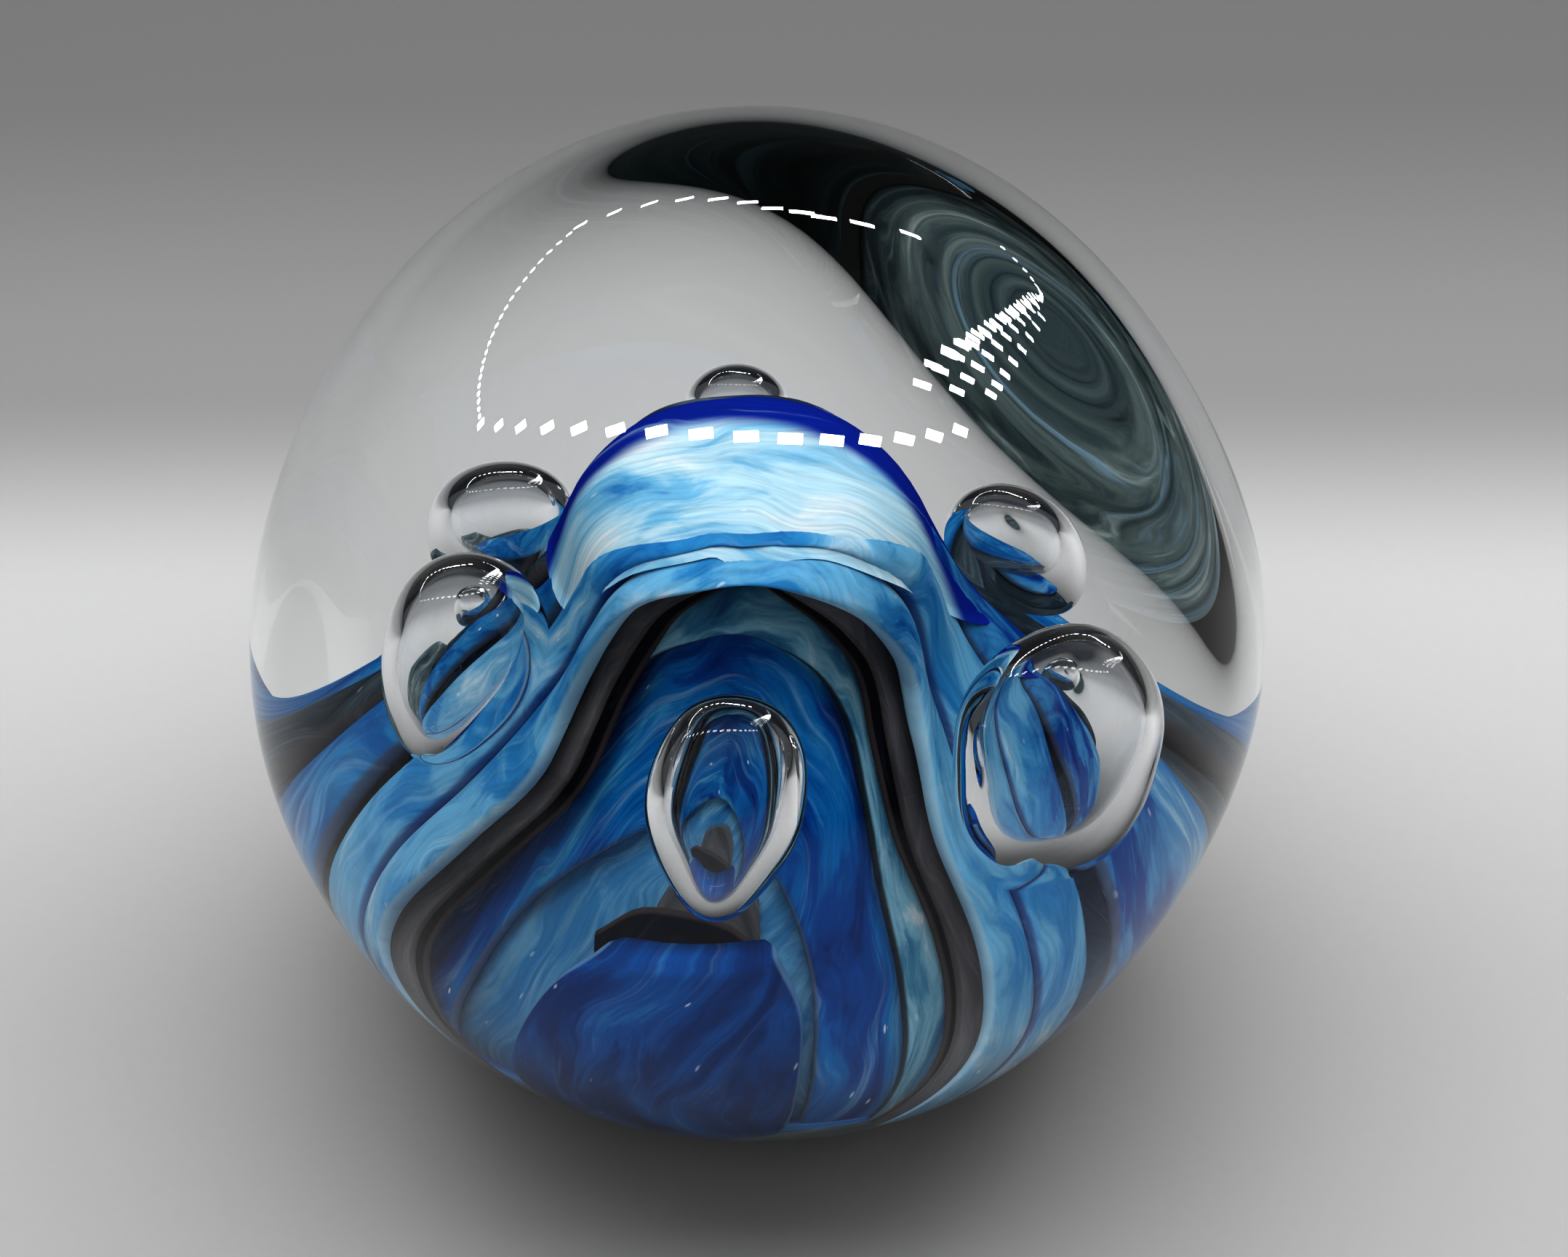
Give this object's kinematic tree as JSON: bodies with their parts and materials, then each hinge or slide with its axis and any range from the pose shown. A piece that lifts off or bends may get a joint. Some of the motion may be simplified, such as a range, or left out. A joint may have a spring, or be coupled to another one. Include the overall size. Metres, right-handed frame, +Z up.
{
  "type": "paperweight",
  "caption": "Egg-shaped clear glass paperweight with a folded blue glass veil inside, trapped air bubbles and a flat ground base.",
  "frame": {"origin": "centre of the flat ground base, on the surface it rests on", "axes": "+Z up through the crown; -Y is the front, the side with the open fold; +X to the front's right"},
  "size_m": [0.08, 0.08, 0.0802],
  "materials": {
    "clear_glass": "clear polished crystal",
    "deep_blue_glass": "opaque royal blue glass with white specks",
    "sky_blue_glass": "opaque light blue glass, clouded with white",
    "teal_glass": "opaque teal glass, mottled with white",
    "cobalt_glass": "opaque cobalt violet glass",
    "grey_glass": "opaque purple-grey glass",
    "black_glass": "opaque black glass"
  },
  "bodies": {
    "root": {"outer_gather": "clear_glass", "inner_gather": "clear_glass", "core_bulb": "deep_blue_glass", "lip_band": "sky_blue_glass", "crest_band": "sky_blue_glass", "shelf_ribbon": "grey_glass", "recess_ribbon": "black_glass", "teal_ribbon": "teal_glass", "blue_face": "deep_blue_glass", "sky_panel": "teal_glass", "slot_lining": "black_glass", "lower_lobe": "deep_blue_glass", "left_ribbon": "deep_blue_glass", "cobalt_ribbon": "cobalt_glass", "left_side_veil": "deep_blue_glass", "right_side_veil": "cobalt_glass", "crest_cap": "cobalt_glass", "rear_crest_band": "sky_blue_glass", "rear_lip_band": "sky_blue_glass", "rear_shelf_ribbon": "grey_glass", "rear_recess_ribbon": "black_glass", "rear_face": "deep_blue_glass", "rear_panel": "teal_glass"}
  },
  "joints": []
}
